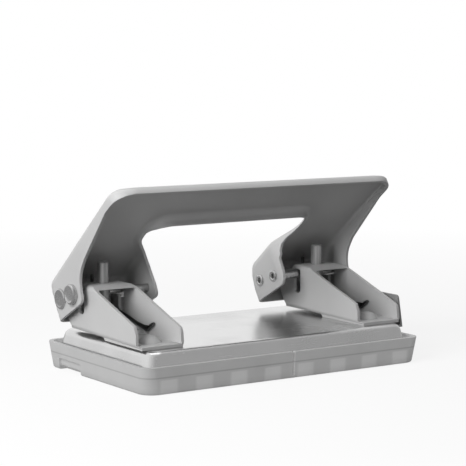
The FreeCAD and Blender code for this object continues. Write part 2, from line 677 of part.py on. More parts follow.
def make_spring(side):
    edges = spring_path(side)
    path = Part.Wire(edges)
    print("spring's least gap to itself", round(least_gap(path), 2), "mm")
    start = edges[0].Vertexes[0].Point
    ahead = edges[0].Vertexes[1].Point - start
    profile = Part.Wire([Part.makeCircle(WIRE_R, start, ahead)])
    return path.makePipeShell([profile], True, False)


# Paper gauge: strip with windows round the punches, foot plate and upright tab
def make_gauge():
    top = BASE_TOP - BASE_SHEET - SLIDE_GAP / 2
    low = top - GAUGE_SHEET
    back = PUNCH_Y - GAUGE_BACK
    front = PUNCH_Y + GAUGE_FRONT
    slot_mid = BASE_LOW_HALF - BASE_LEAN * (low - SKIRT_SEAT) / BASE_HEIGHT
    foot_in = slot_mid + GAUGE_LIP
    tab_out = foot_in + GAUGE_OUT
    strip = block(GAUGE_END_GAP - slot_mid, tab_out - GAUGE_SHEET, back, front, low, top)
    for side, name in SIDES:
        x = side * HOLE_SPACING / 2
        window = block(x - GAUGE_TRAVEL - GAUGE_WINDOW, x + GAUGE_WINDOW,
                       PUNCH_Y - GAUGE_WINDOW, PUNCH_Y + GAUGE_WINDOW, low - OVERRUN, top + OVERRUN)
        strip = strip.cut(window)
    tab_rear = TAB_INSET - TRAY_DEPTH / 2
    ear = [math.hypot(a, b) for a, b in side_sizes(TRIM_SHARES[-EAR_CORNERS:])]
    tab_front = PIVOT_Y - max(ear) - TAB_FRONT_GAP
    foot = block(foot_in, tab_out - GAUGE_SHEET, tab_rear, front, low, top)
    corners = [point(tab_out - GAUGE_SHEET, tab_rear, low), point(tab_out - GAUGE_SHEET, front, low),
               point(tab_out - GAUGE_SHEET, front, top + GAUGE_SHEET),
               point(tab_out - GAUGE_SHEET, tab_front, top + GAUGE_SHEET),
               point(tab_out - GAUGE_SHEET, tab_front, low + TAB_HEIGHT),
               point(tab_out - GAUGE_SHEET, tab_rear + TAB_LEAN, low + TAB_HEIGHT)]
    tab = prism(corners, [0, 0, 0, 0, TAB_ROUND, TAB_ROUND], X_AXIS * GAUGE_SHEET)
    return strip.fuse([foot, tab]).removeSplitter()


# Parts list
save(make_tray(), "chad_tray")
save(make_base(), "base_plate")
save(make_lever(), "lever")
save(make_gauge(), "paper_gauge")
for side, name in SIDES:
    save(make_bracket(side), "bracket_" + name)
    save(make_rivet(side), "bracket_rivet_" + name)
    save(make_rivet_washer(side), "rivet_washer_" + name)
    save(make_gauge_guide(side), "gauge_guide_" + name)
    save(make_pin(side, PIVOT_Y, PIVOT_Z, PIVOT_HEAD), "pivot_pin_" + name)
    save(make_pin(side, DRIVE_Y, DRIVE_Z, DRIVE_HEAD), "drive_pin_" + name)
    save(make_punch(side), "punch_pin_" + name)
    save(make_spring(side), "return_spring_" + name)
print("punch travel", round(TRAVEL, 3), "mm, lever swing", round(math.degrees(SWING), 2), "degrees")
print("punch travel per radian", round(TRAVEL / SWING, 4), "mm")
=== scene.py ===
import json
import math

import bpy
from bpy.props import FloatProperty, FloatVectorProperty, PointerProperty
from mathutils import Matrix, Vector


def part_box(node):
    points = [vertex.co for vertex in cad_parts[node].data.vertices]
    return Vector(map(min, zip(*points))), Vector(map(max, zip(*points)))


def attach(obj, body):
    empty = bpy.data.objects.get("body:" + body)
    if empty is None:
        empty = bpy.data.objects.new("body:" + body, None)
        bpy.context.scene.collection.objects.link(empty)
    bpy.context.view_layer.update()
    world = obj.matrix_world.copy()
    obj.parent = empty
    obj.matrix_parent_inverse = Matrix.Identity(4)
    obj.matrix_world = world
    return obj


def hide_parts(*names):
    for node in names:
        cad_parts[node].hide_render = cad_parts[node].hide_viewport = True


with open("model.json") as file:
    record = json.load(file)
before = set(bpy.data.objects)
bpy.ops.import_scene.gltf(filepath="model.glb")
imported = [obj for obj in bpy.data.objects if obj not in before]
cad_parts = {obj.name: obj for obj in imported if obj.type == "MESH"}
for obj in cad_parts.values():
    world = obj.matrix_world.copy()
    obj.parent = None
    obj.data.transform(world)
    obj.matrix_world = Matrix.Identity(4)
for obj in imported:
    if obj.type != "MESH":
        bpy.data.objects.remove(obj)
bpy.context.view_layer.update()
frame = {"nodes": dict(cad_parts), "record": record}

bl_info = {
    "name": "Two-Hole Paper Punch",
    "version": (1, 0, 0),
    "blender": (4, 5, 0),
    "location": "View3D > Sidebar > Punch",
    "description": "Finishes and lights a lever-operated two-hole paper punch",
    "category": "Object",
}

RECORD = frame["record"]
BODY_OF = {node: body for body, nodes in RECORD["behaviour"]["bodies"].items() for node in nodes}
SIDES = ((-1, "left"), (1, "right"))
MM = 0.001

# The lever, in millimetres: its hinge and drive pin in side view, and its web's tilt
PIVOT_Y, PIVOT_Z = 19.4, 22.1
DRIVE_Y, DRIVE_Z = 11.9, 24.4
TILT = math.radians(38.6)

# The lever's outline, on its own axes: across, up the web, and out through it
LEVER_HALF = 50.2
ARM_INNER = 24.0
LEVER_REACH = 49.7
LEVER_DEPTH = 8.0
LEVER_CORNER = 7.5
CREST_ROUND = 3.2

# How the lever's outline changes from the solid's. A pair of values is where a change
# begins and where it is whole.
CORNER_ROUND = 6.2
CORNER_TURN = (0.6, 1.25)
TOE_UP = (-4.0, 8.0)
SIDE_FLARE = 0.8
FLARE_OUT = (2.0, 6.0)
CREST_FALL = 0.8
CREST_FALL_UP = (20.0, 46.0)
ARM_NARROW = 0.75
ARM_SPAN = (34.0, 42.0)
ARM_UP = (28.0, 31.5)

# Trim of the flange at the hand opening's necks: up the web, and out through it
NECK_HALF = 33.5
NECK_TRIM = (
    (12.8, -2.0), (13.6, 2.6), (14.8, 4.4), (16.9, 5.5), (20.5, 6.1), (24.4, 6.1),
    (26.6, 5.6), (28.3, 4.95), (29.8, 4.4), (31.2, 3.95), (32.5, 3.8), (32.5, -2.0))

# Rings of the turned pieces: distance along the axis and radius
SHANK = 1.25
DRIVE_HEAD = (
    (0.24, 1.95), (0.14, 2.3), (0.02, 2.5), (0.0, 2.62), (0.06, 2.84), (0.26, 3.03),
    (0.5, 3.1), (1.36, 3.1), (1.5, 2.96), (1.5, SHANK))
PIVOT_HEAD = (
    (0.12, 2.1), (0.06, 2.4), (0.0, 2.62), (0.05, 2.88), (0.2, 3.06), (0.38, 3.1),
    (0.6, 3.1), (0.7, 3.0), (0.7, SHANK))
CLINCH = (
    (0.0, SHANK), (0.0, 1.82), (0.14, 1.96), (0.34, 1.9), (0.5, 1.66), (0.55, 1.36),
    (0.52, 1.08), (0.4, 0.86), (0.1, 0.76), (-0.62, 0.75))
RIVET_X, RIVET_Y, RIVET_TOP = 40.0, -15.6, 14.9
RIVET = (
    (0.02, 0.55), (0.1, 1.1), (0.26, 1.65), (0.5, 2.15), (0.84, 2.6), (1.24, 2.98),
    (1.66, 3.32), (1.84, 3.46), (2.0, 3.5), (2.0, 1.6), (4.5, 1.6), (4.5, 2.4),
    (4.62, 2.5), (5.0, 2.46), (5.24, 2.2), (5.3, 1.8))

# The tray: its height, how far its foot moves out, how far in from its rim that begins
# and is whole, how much rounder its edges are than the sheet metal's, and where its line
# and ribs are
TRAY_HEIGHT = 8.1
TRAY_LEAN = 0.5
TRAY_INSET = (10.0, 8.0)
TRAY_EDGE = 1.6
TRAY_LINE = 5.0
RIB_PITCH = 12.0
RIB_GAP = (0.9, 0.6)

# The springs' feet in side view: the heel of the leg, the leg's slope in degrees, its
# length, how far above it the bend ends, how far it drops, and where and how far its
# hook closes and lifts. Edges longer than SPRING_LONG are cut.
SPRING_HEEL = (-7.4, 14.87)
SPRING_SLOPE = 8.9
SPRING_LEG = 19.0
SPRING_ABOVE = 4.0
SPRING_LONG = 8.0
SPRING_CUTS = 24
SPRING_DROP = 1.2
DROP_AHEAD = -4.0
HOOK_AHEAD = 3.2
HOOK_TIP = 0.5
HOOK_ABOVE = (0.5, 1.8)
HOOK_CLOSE = 1.0
HOOK_LIFT = 34.0

# Cleaning and softening of meshes: welds in millimetres, and angles in degrees
WELD_GAP = 0.002
FLAT_ANGLE = 0.3
EDGE_ANGLE = 38.0
TURNED_ANGLE = 30.0
WIRE_ANGLE = 50.0

# The camera, the lamps and what they are aimed at, in metres
CAMERA_PLACE = (-0.3052, -0.4565, 0.1022)
CAMERA_HEADING = (0.5519, 0.8265, -0.1110)
SENSOR_WIDTH = 36.0
KEY_PLACE, KEY_AIM, KEY_SIZE = (-0.47, -0.12, 0.25), (-0.02, 0.0, 0.03), 0.35
TOP_PLACE, TOP_AIM, TOP_SIZE = (0.05, 0.1, 0.8), (0.0, 0.0, 0.0), 0.6

# The floor, in metres: its size, its drop below the tray, its own share of white by the
# punch and where that becomes whole, and how white it is to metal that mirrors it
FLOOR_SIZE, FLOOR_DROP = 6.0, 0.00002
FLOOR_NEAR, FLOOR_FADE = 0.84, (0.12, 0.4)
FLOOR_MIRRORED = 0.35

# The side of the room that metal mirrors as bright, and the cosines between which the
# room goes from dim to bright
BRIGHT_SIDE, BRIGHT_TURN = (-0.55, 0.83, 0.1), (-0.45, 0.4)


# Shader arithmetic

class Wire:
    """A shader socket that takes part in plain arithmetic."""

    def __init__(self, tree, socket):
        self.tree = tree
        self.socket = socket

    def maths(self, operation, *values):
        node = self.tree.nodes.new("ShaderNodeMath")
        node.operation = operation
        for slot, value in zip(node.inputs, values):
            if isinstance(value, Wire):
                self.tree.links.new(value.socket, slot)
            else:
                slot.default_value = value
        return Wire(self.tree, node.outputs[0])

    def __add__(self, other):
        return self.maths("ADD", self, other)

    def __sub__(self, other):
        return self.maths("SUBTRACT", self, other)

    def __mul__(self, other):
        return self.maths("MULTIPLY", self, other)

    def __truediv__(self, other):
        return self.maths("DIVIDE", self, other)

    def __radd__(self, other):
        return self.maths("ADD", other, self)

    def __rsub__(self, other):
        return self.maths("SUBTRACT", other, self)

    def __rmul__(self, other):
        return self.maths("MULTIPLY", other, self)

    def clamped(self):
        held = self.maths("ADD", self, 0.0)
        held.socket.node.use_clamp = True
        return held

    def between(self, low, high):
        """0 below low and 1 above high, with a straight rise."""
        return ((self - low) / (high - low)).clamped()


class Nodes:
    """A node tree and the ways that its nodes are made."""

    def __init__(self, tree):
        self.tree = tree
        self.tree.nodes.clear()

    def node(self, kind, settings=(), **sockets):
        made = self.tree.nodes.new(kind)
        for key, value in dict(settings).items():
            setattr(made, key, value)
        for key, value in sockets.items():
            slot = made.inputs[key.replace("_", " ")]
            if isinstance(value, Wire):
                self.tree.links.new(value.socket, slot)
            else:
                slot.default_value = value
        return made

    def wire(self, node, output=0):
        return Wire(self.tree, node.outputs[output])

    def place(self, scale=(1.0, 1.0, 1.0), turn=(0.0, 0.0, 0.0)):
        coordinates = self.wire(self.node("ShaderNodeTexCoord"), "Object")
        return self.wire(self.node("ShaderNodeMapping", Vector=coordinates, Scale=scale,
                                   Rotation=turn))

    def noise(self, place, scale, detail=2.0, roughness=0.5):
        return self.wire(self.node("ShaderNodeTexNoise", Vector=place, Scale=scale, Detail=detail,
                                   Roughness=roughness))

    def specks(self, place, scale):
        """Distance to the middle of scattered cells, for specks and pits."""
        return self.wire(self.node("ShaderNodeTexVoronoi", Vector=place, Scale=scale), "Distance")

    def distance(self, value, middle):
        apart = value - middle
        return apart.maths("ABSOLUTE", apart)

    def repeat(self, value, pitch):
        """Rise from 0 to 0.5 and fall back to 0 over each pitch."""
        step = value / pitch
        step = step.maths("FRACT", step)
        return step.maths("PINGPONG", step, 0.5)

    def blend(self, share, first, second):
        mixed = self.node("ShaderNodeMix", {"data_type": "RGBA"})
        self.tree.links.new(share.socket, mixed.inputs["Factor"])
        for slot, value in ((mixed.inputs[6], first), (mixed.inputs[7], second)):
            if isinstance(value, Wire):
                self.tree.links.new(value.socket, slot)
            else:
                slot.default_value = (*value, 1.0)
        return Wire(self.tree, mixed.outputs[2])

    def bump(self, height, strength, distance):
        return self.wire(self.node("ShaderNodeBump", Height=height, Strength=strength,
                                   Distance=distance))

    def mix_shaders(self, share, first, second):
        mixed = self.node("ShaderNodeMixShader", Fac=share)
        self.tree.links.new(first.outputs[0], mixed.inputs[1])
        self.tree.links.new(second.outputs[0], mixed.inputs[2])
        return mixed

    def finish_with(self, shader, kind="ShaderNodeOutputMaterial"):
        output = self.node(kind)
        self.tree.links.new(shader.outputs[0], output.inputs["Surface"])


class Finish(Nodes):
    """One material."""

    def __init__(self, name):
        self.material = bpy.data.materials.new(name)
        self.material.use_nodes = True
        super().__init__(self.material.node_tree)

    def principled(self, **sockets):
        self.finish_with(self.node("ShaderNodeBsdfPrincipled", **sockets))
        return self.material


def shade(colour, factor):
    return tuple(min(1.0, c * factor) for c in colour)


# Finishes

def silver_paint(look):
    """Satin silver paint: metal flake, faint orange peel, dust specks and slow shade changes."""
    made = Finish("satin silver paint")
    place = made.place()
    flake = made.noise(place, 9000.0, 1.0)
    cloud = made.noise(place, 60.0, 3.0)
    peel = made.noise(place, 1300.0, 2.0)
    dust = 1.0 - made.specks(place, 420.0).between(0.03, 0.07)
    base = made.blend((flake * 0.4 + cloud * 0.6).between(0.25, 0.75), shade(look.paint, 0.94),
                      shade(look.paint, 1.05))
    colour = made.blend(dust * cloud.between(0.5, 0.62) * 0.3, base, shade(look.paint, 0.72))
    return made.principled(
        Base_Color=colour, Metallic=look.paint_metallic,
        Roughness=0.44 + 0.08 * flake + 0.06 * cloud,
        Normal=made.bump(peel + dust * 0.3, 0.1, 0.02 * MM))


def plated_steel(look):
    """Bright plating with a drawn grain, hairline scratches and slow ripples."""
    made = Finish("bright plated steel")
    grain = made.noise(made.place((1.0, 16.0, 16.0)), 240.0, 2.0)
    hair = made.noise(made.place((0.4, 30.0, 30.0), (0.0, 0.0, 0.5)), 150.0, 2.0)
    hair = hair.between(0.68, 0.75)
    cloud = made.noise(made.place(), 45.0, 3.0)
    smudge = cloud.between(0.45, 0.75)
    colour = made.blend(smudge, shade(look.plating, 1.02), shade(look.plating, 0.93))
    return made.principled(
        Base_Color=colour, Metallic=1.0, Roughness=0.19 + 0.06 * grain + 0.08 * smudge + 0.1 * hair,
        Normal=made.bump(cloud + grain * 0.04, 0.06, 0.05 * MM))


def turned_steel(look):
    """Polished steel with fine turning marks and a few dull patches."""
    made = Finish("polished steel")
    grain = made.noise(made.place((1.0, 1.0, 26.0)), 620.0, 2.0)
    cloud = made.noise(made.place(), 240.0, 3.0)
    colour = made.blend((cloud * 0.7 + grain * 0.3).between(0.3, 0.7), shade(look.steel, 0.78),
                        shade(look.steel, 1.06))
    return made.principled(
        Base_Color=colour, Metallic=1.0, Roughness=0.17 + 0.1 * grain + 0.08 * cloud,
        Normal=made.bump(grain, 0.08, 0.01 * MM))


def ground_steel(look):
    """Ground punch steel with streaks along its length."""
    made = Finish("ground steel")
    streak = made.noise(made.place((1.0, 1.0, 0.02)), 1500.0, 2.0)
    cloud = made.noise(made.place(), 180.0, 2.0)
    colour = made.blend(streak.between(0.35, 0.65), shade(look.steel, 0.66),
                        shade(look.steel, 1.02))
    return made.principled(
        Base_Color=colour, Metallic=0.65, Roughness=0.32 + 0.08 * streak + 0.06 * cloud,
        Normal=made.bump(streak, 0.1, 0.01 * MM))


def spring_steel(look):
    """Dark drawn wire under a thin oil film."""
    made = Finish("dark spring steel")
    cloud = made.noise(made.place(), 700.0, 3.0)
    colour = made.blend(cloud.between(0.3, 0.7), shade(look.wire, 0.65), shade(look.wire, 1.3))
    return made.principled(
        Base_Color=colour, Metallic=1.0, Roughness=0.22 + 0.16 * cloud,
        Normal=made.bump(cloud, 0.1, 0.02 * MM))


def gauge_paint(look):
    """Satin grey paint on the sliding gauge, duller where it is handled."""
    made = Finish("satin grey paint")
    place = made.place()
    cloud = made.noise(place, 160.0, 3.0)
    peel = made.noise(place, 1500.0, 2.0)
    colour = made.blend(cloud.between(0.3, 0.7), shade(look.gauge, 0.92), shade(look.gauge, 1.06))
    return made.principled(
        Base_Color=colour, Metallic=0.3, Roughness=0.38 + 0.14 * cloud,
        Normal=made.bump(peel, 0.1, 0.02 * MM))


def frosted_plastic(look):
    """Frosted translucent moulding with a moulding line round it, painted light where its ribs show
    through, painted shade along its foot, and a painted glow in place of light spreading inside.
    """
    made = Finish("frosted plastic")
    place = made.place()
    grain = made.noise(place, 3200.0, 2.0)
    cloud = made.noise(place, 70.0, 3.0)
    split = made.node("ShaderNodeSeparateXYZ", Vector=place)
    across, height = (made.wire(split, axis) for axis in ("X", "Z"))
    line = 1.0 - made.distance(height, TRAY_LINE * MM).between(0.05 * MM, 0.3 * MM)
    # Painted light: lighter stripes where the ribs inside show through the plastic, fading out
    # below the moulding line
    painted_rib_light = made.repeat(across, RIB_PITCH * MM).between(0.22, 0.3)
    painted_rib_light = painted_rib_light * (1.0 - height.between(*((TRAY_LINE - gap) * MM for gap in RIB_GAP)))
    # Darker towards the bottom: painted shade along the tray's foot, from 0.6 to 2.2 mm up
    low = 1.0 - height.between(0.6 * MM, 2.2 * MM)
    tone_and_painted_light = (0.35 + cloud * 0.45 + painted_rib_light * 0.35 - line * 0.5 - low * 0.2).clamped()
    colour = made.blend(tone_and_painted_light, shade(look.tray, 0.66), shade(look.tray, 1.24))
    return made.principled(
        Base_Color=colour, Roughness=0.4 + 0.12 * grain + 0.06 * cloud, IOR=1.49,
        # Painted glow: the tray sends out its own colour as light, in place of light spreading
        # inside the plastic
        Transmission_Weight=look.tray_clearness, Emission_Color=colour,
        Emission_Strength=look.tray_painted_glow,
        Normal=made.bump(grain - line * 2.0, 0.12, 0.02 * MM))


# Sizes and colours that a user would change

class PunchFinishes(bpy.types.PropertyGroup):
    paint: FloatVectorProperty(
        name="Paint", description="Colour of the silver paint on the lever and brackets",
        subtype="COLOR", size=3, min=0.0, max=1.0, default=(0.60, 0.60, 0.60))
    paint_metallic: FloatProperty(
        name="Paint Metallic", description="How metallic the silver paint looks",
        subtype="FACTOR", min=0.0, max=1.0, default=0.2)
    plating: FloatVectorProperty(
        name="Plating", description="Colour of the plated base",
        subtype="COLOR", size=3, min=0.0, max=1.0, default=(0.68, 0.68, 0.68))
    steel: FloatVectorProperty(
        name="Pin Steel", description="Colour of the pins, punches and washers",
        subtype="COLOR", size=3, min=0.0, max=1.0, default=(0.56, 0.56, 0.56))
    wire: FloatVectorProperty(
        name="Spring Wire", description="Colour of the return springs",
        subtype="COLOR", size=3, min=0.0, max=1.0, default=(0.16, 0.16, 0.16))
    gauge: FloatVectorProperty(
        name="Gauge Paint", description="Colour of the paper gauge",
        subtype="COLOR", size=3, min=0.0, max=1.0, default=(0.34, 0.34, 0.34))
    tray: FloatVectorProperty(
        name="Tray", description="Colour of the chad tray's plastic",
        subtype="COLOR", size=3, min=0.0, max=1.0, default=(0.44, 0.44, 0.44))
    tray_clearness: FloatProperty(
        name="Tray Clearness", description="How much light goes through the tray's plastic",
        subtype="FACTOR", min=0.0, max=1.0, default=0.3)
    # Strength of the tray's painted glow, which stands in for light spreading inside the plastic
    tray_painted_glow: FloatProperty(
        name="Tray Glow", description="Light that spreads inside the tray's plastic",
        subtype="FACTOR", min=0.0, max=1.0, default=0.29)


class PunchSizes(bpy.types.PropertyGroup):
    side_round: FloatProperty(
        name="Side Radius", description="Radius of the pressing down the lever's sides",
        subtype="DISTANCE", unit="LENGTH", min=0.0011, default=0.0015)
    edge_round: FloatProperty(
        name="Edge Round", description="Softening of the sheet metal's cut edges",
        subtype="DISTANCE", unit="LENGTH", min=0.0, default=0.00011)


class PunchStage(bpy.types.PropertyGroup):
    focal_length: FloatProperty(
        name="Focal Length", description="Lens of the camera",
        subtype="DISTANCE_CAMERA", unit="CAMERA", default=138.3)
    floor: FloatVectorProperty(
        name="Floor", description="Colour of the floor as it lights the punch",
        subtype="COLOR", size=3, min=0.0, max=1.0, default=(0.18, 0.18, 0.18))
    sky: FloatProperty(
        name="Sky Light", description="Strength of the soft light from all round",
        min=0.0, default=0.19)
    dim: FloatProperty(
        name="Camera Side", description="Brightness that metal mirrors from the camera's side",
        subtype="FACTOR", min=0.0, max=1.0, default=0.46)
    key: FloatProperty(
        name="Key Light", description="Power of the soft lamp at the left",
        subtype="POWER", unit="POWER", min=0.0, default=2.85)
    top: FloatProperty(
        name="Top Light", description="Power of the large soft lamp overhead",
        subtype="POWER", unit="POWER", min=0.0, default=1.15)


# Modelling

def pick(piece):
    bpy.ops.object.select_all(action="DESELECT")
    piece.select_set(True)
    bpy.context.view_layer.objects.active = piece


def modified(piece, kind, **settings):
    """Add one modifier and apply it."""
    pick(piece)
    modifier = piece.modifiers.new(kind.lower(), kind)
    for key, value in settings.items():
        setattr(modifier, key, value)
    bpy.ops.object.modifier_apply(modifier=modifier.name)


def smooth(piece, degrees=32.0):
    pick(piece)
    bpy.ops.object.shade_smooth_by_angle(angle=math.radians(degrees))


def dress(node, material):
    """Give a CAD node its material."""
    mesh = frame["nodes"][node].data
    mesh.materials.clear()
    mesh.materials.append(material)


def seat(piece, node, material):
    """Put a finished piece in its node's place."""
    piece.data.materials.clear()
    piece.data.materials.append(material)
    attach(piece, BODY_OF[node])
    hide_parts(node)


def copied(node, name):
    """Copy a CAD mesh as one closed skin."""
    piece = bpy.data.objects.new(name, frame["nodes"][node].data.copy())
    bpy.context.scene.collection.objects.link(piece)
    pick(piece)
    bpy.ops.mesh.customdata_custom_splitnormals_clear()
    bpy.ops.object.mode_set(mode="EDIT")
    bpy.ops.mesh.select_all(action="SELECT")
    bpy.ops.mesh.remove_doubles(threshold=WELD_GAP * MM)
    bpy.ops.mesh.dissolve_limited(angle_limit=math.radians(FLAT_ANGLE))
    bpy.ops.mesh.select_all(action="DESELECT")
    bpy.ops.object.mode_set(mode="OBJECT")
    return piece


def softened(piece, width):
    """Round the cut edges a little, as tumbling and paint do, inside the piece's old box."""
    corners = [[sign * max(sign * vertex.co[axis] for vertex in piece.data.vertices)
                for axis in range(3)] for sign in (-1, 1)]
    modified(piece, "BEVEL", width=width, segments=2, limit_method="ANGLE",
             angle_limit=math.radians(EDGE_ANGLE), use_clamp_overlap=False)
    for vertex in piece.data.vertices:
        for axis, low, high in zip(range(3), *corners):
            vertex.co[axis] = min(max(vertex.co[axis], low), high)
    smooth(piece)
    modified(piece, "WEIGHTED_NORMAL", keep_sharp=True)
    return piece


def turned(name, start, run, rings, segments=64):
    """Turn a piece by extruding a circle from ring to ring along its axis."""
    bpy.ops.object.select_all(action="DESELECT")
    start, run = Vector(start) * MM, Vector(run)
    rings = [(along * MM, radius * MM) for along, radius in rings]
    first_along, first_radius = rings[0]
    bpy.ops.mesh.primitive_circle_add(
        vertices=segments, radius=first_radius, location=start + run * first_along,
        rotation=run.to_track_quat("Z", "X").to_euler())
    piece = bpy.context.object
    piece.name = name
    bpy.ops.object.transform_apply(location=True, rotation=True, scale=True)
    bpy.ops.object.mode_set(mode="EDIT")
    for (here, old_radius), (there, radius) in zip(rings, rings[1:]):
        bpy.ops.mesh.extrude_region_move(
            TRANSFORM_OT_translate={"value": run * (there - here)})
        share = radius / old_radius
        bpy.ops.transform.resize(
            value=(share, share, share), center_override=start + run * there)
    bpy.ops.mesh.edge_face_add()
    bpy.ops.mesh.select_all(action="DESELECT")
    bpy.ops.mesh.select_non_manifold()
    bpy.ops.mesh.edge_face_add()
    bpy.ops.mesh.select_all(action="SELECT")
    bpy.ops.mesh.normals_make_consistent(inside=False)
    bpy.ops.object.mode_set(mode="OBJECT")
    smooth(piece, TURNED_ANGLE)
    return piece


def along_web(place):
    """Millimetres up the web and out through it from the pivot."""
    y = place.y / MM - PIVOT_Y
    z = place.z / MM - PIVOT_Z
    return (z * math.sin(TILT) - y * math.cos(TILT), y * math.sin(TILT) + z * math.cos(TILT))


def from_web(x, up, out):
    return Vector((x, PIVOT_Y - up * math.cos(TILT) + out * math.sin(TILT),
                   PIVOT_Z + up * math.sin(TILT) + out * math.cos(TILT))) * MM


def eased(value, low, high):
    share = min(max((value - low) / (high - low), 0.0), 1.0)
    return share * share * (3.0 - 2.0 * share)


def corner_reach(turn):
    """Distance from the old corner's middle to the new outline, as a share of the old one."""
    inset = LEVER_CORNER - CORNER_ROUND
    flat = math.atan2(inset, LEVER_CORNER)
    if turn < flat:
        return 1.0 / math.cos(turn)
    if turn > math.pi / 2 - flat:
        return 1.0 / math.sin(turn)
    both = inset * (math.cos(turn) + math.sin(turn))
    return (both + math.sqrt(both ** 2 - 2 * inset ** 2 + CORNER_ROUND ** 2)) / LEVER_CORNER


def tightened(piece, radius):
    """Tighten the lever's radius down its sides, and fit its corners, sides, arms and crest."""
    middle = (LEVER_HALF - LEVER_CORNER, LEVER_REACH - LEVER_CORNER)
    for vertex in piece.data.vertices:
        side = math.copysign(1.0, vertex.co.x)
        up, out = along_web(vertex.co)
        reach, rise = abs(vertex.co.x) / MM - middle[0], up - middle[1]
        turn = math.atan2(max(rise, 0.0), max(reach, 1e-6))
        edge = math.hypot(reach, max(rise, 0.0)) - (LEVER_CORNER - CREST_ROUND)
        ahead = out - (LEVER_DEPTH - CREST_ROUND)
        if reach > 0.0 and edge > 0.0 and ahead > 0.0:
            change = ((CREST_ROUND - radius / MM) * (1.0 - eased(turn, *CORNER_TURN))
                      * eased(up, *TOE_UP))
            angle = math.atan2(ahead, edge)
            reach += change * (1.0 - math.cos(angle)) * math.cos(turn)
            rise += change * (1.0 - math.cos(angle)) * math.sin(turn)
            out += change * (1.0 - math.sin(angle))
        if reach > 0.0 and rise > 0.0:
            share = corner_reach(math.atan2(rise, reach))
            reach, rise = reach * share, rise * share
        x = side * (middle[0] + reach)
        flare = SIDE_FLARE * eased(reach, 0.0, LEVER_CORNER) * eased(out, *FLARE_OUT)
        narrow = ARM_NARROW * (1.0 - eased(side * x, *ARM_SPAN)) * (1.0 - eased(up, *ARM_UP))
        across = (x / LEVER_HALF + 1.0) / 2.0
        fall = CREST_FALL * across * eased(middle[1] + rise, *CREST_FALL_UP)
        vertex.co = from_web(x + side * (flare - narrow), middle[1] + rise - fall, out)


def neck_cutter():
    """Prism that trims the flange where each arm's neck runs into the hand opening."""
    bpy.ops.object.select_all(action="DESELECT")
    bpy.ops.mesh.primitive_circle_add(vertices=len(NECK_TRIM), radius=0.01, fill_type="NGON")
    cutter = bpy.context.object
    for vertex, (up, out) in zip(cutter.data.vertices, NECK_TRIM):
        vertex.co = from_web(-NECK_HALF, up, out)
    bpy.ops.object.mode_set(mode="EDIT")
    bpy.ops.mesh.select_all(action="SELECT")
    bpy.ops.mesh.extrude_region_move(
        TRANSFORM_OT_translate={"value": (2 * NECK_HALF * MM, 0.0, 0.0)})
    bpy.ops.mesh.select_all(action="SELECT")
    bpy.ops.mesh.normals_make_consistent(inside=False)
    bpy.ops.object.mode_set(mode="OBJECT")
    return cutter


class PUNCH_OT_lever(bpy.types.Operator):
    """Shape and paint the pressed lever"""
    bl_idname = "punch.lever"
    bl_label = "Lever"

    def execute(self, context):
        sizes = context.scene.punch_sizes
        lever = copied("lever", "pressed_lever")
        tightened(lever, sizes.side_round)
        cutter = neck_cutter()
        modified(lever, "BOOLEAN", operation="DIFFERENCE", solver="EXACT", object=cutter)
        bpy.data.objects.remove(cutter)
        softened(lever, sizes.edge_round)
        seat(lever, "lever", silver_paint(context.scene.punch_finishes))
        return {"FINISHED"}


class PUNCH_OT_brackets(bpy.types.Operator):
    """Shape and paint both brackets and their rivets"""
    bl_idname = "punch.brackets"
    bl_label = "Brackets and Rivets"

    def execute(self, context):
        paint = silver_paint(context.scene.punch_finishes)
        for side, name in SIDES:
            bracket = softened(copied("bracket_" + name, "folded_bracket_" + name),
                               context.scene.punch_sizes.edge_round)
            seat(bracket, "bracket_" + name, paint)
            rivet = turned("domed_rivet_" + name, (side * RIVET_X, RIVET_Y, RIVET_TOP),
                           (0, 0, -1), RIVET)
            seat(rivet, "bracket_rivet_" + name, paint)
        return {"FINISHED"}


class PUNCH_OT_base(bpy.types.Operator):
    """Shape and plate the base pan, and plate the straps and washers under it"""
    bl_idname = "punch.base"
    bl_label = "Base"

    def execute(self, context):
        plating = plated_steel(context.scene.punch_finishes)
        base = softened(copied("base_plate", "plated_base"), context.scene.punch_sizes.edge_round)
        seat(base, "base_plate", plating)
        for _, name in SIDES:
            dress("gauge_guide_" + name, plating)
            dress("rivet_washer_" + name, plating)
        return {"FINISHED"}


class PUNCH_OT_tray(bpy.types.Operator):
    """Shape and frost the chad tray"""
    bl_idname = "punch.tray"
    bl_label = "Chad Tray"

    def execute(self, context):
        tray = copied("chad_tray", "frosted_tray")
        limits = [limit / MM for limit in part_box("chad_tray")[1]]
        for vertex in tray.data.vertices:
            lean = TRAY_LEAN * (1.0 - vertex.co.z / MM / TRAY_HEIGHT)
            for axis in (0, 1):
                walls = [limits[axis] - inset for inset in TRAY_INSET]
                share = eased(abs(vertex.co[axis]) / MM, *walls)
                vertex.co[axis] += math.copysign(lean * share * MM, vertex.co[axis])
        softened(tray, context.scene.punch_sizes.edge_round * TRAY_EDGE)
        seat(tray, "chad_tray", frosted_plastic(context.scene.punch_finishes))
        return {"FINISHED"}


class PUNCH_OT_gauge(bpy.types.Operator):
    """Shape and paint the paper gauge"""
    bl_idname = "punch.gauge"
    bl_label = "Paper Gauge"

    def execute(self, context):
        gauge = copied("paper_gauge", "sliding_gauge")
        softened(gauge, context.scene.punch_sizes.edge_round)
        seat(gauge, "paper_gauge", gauge_paint(context.scene.punch_finishes))
        return {"FINISHED"}


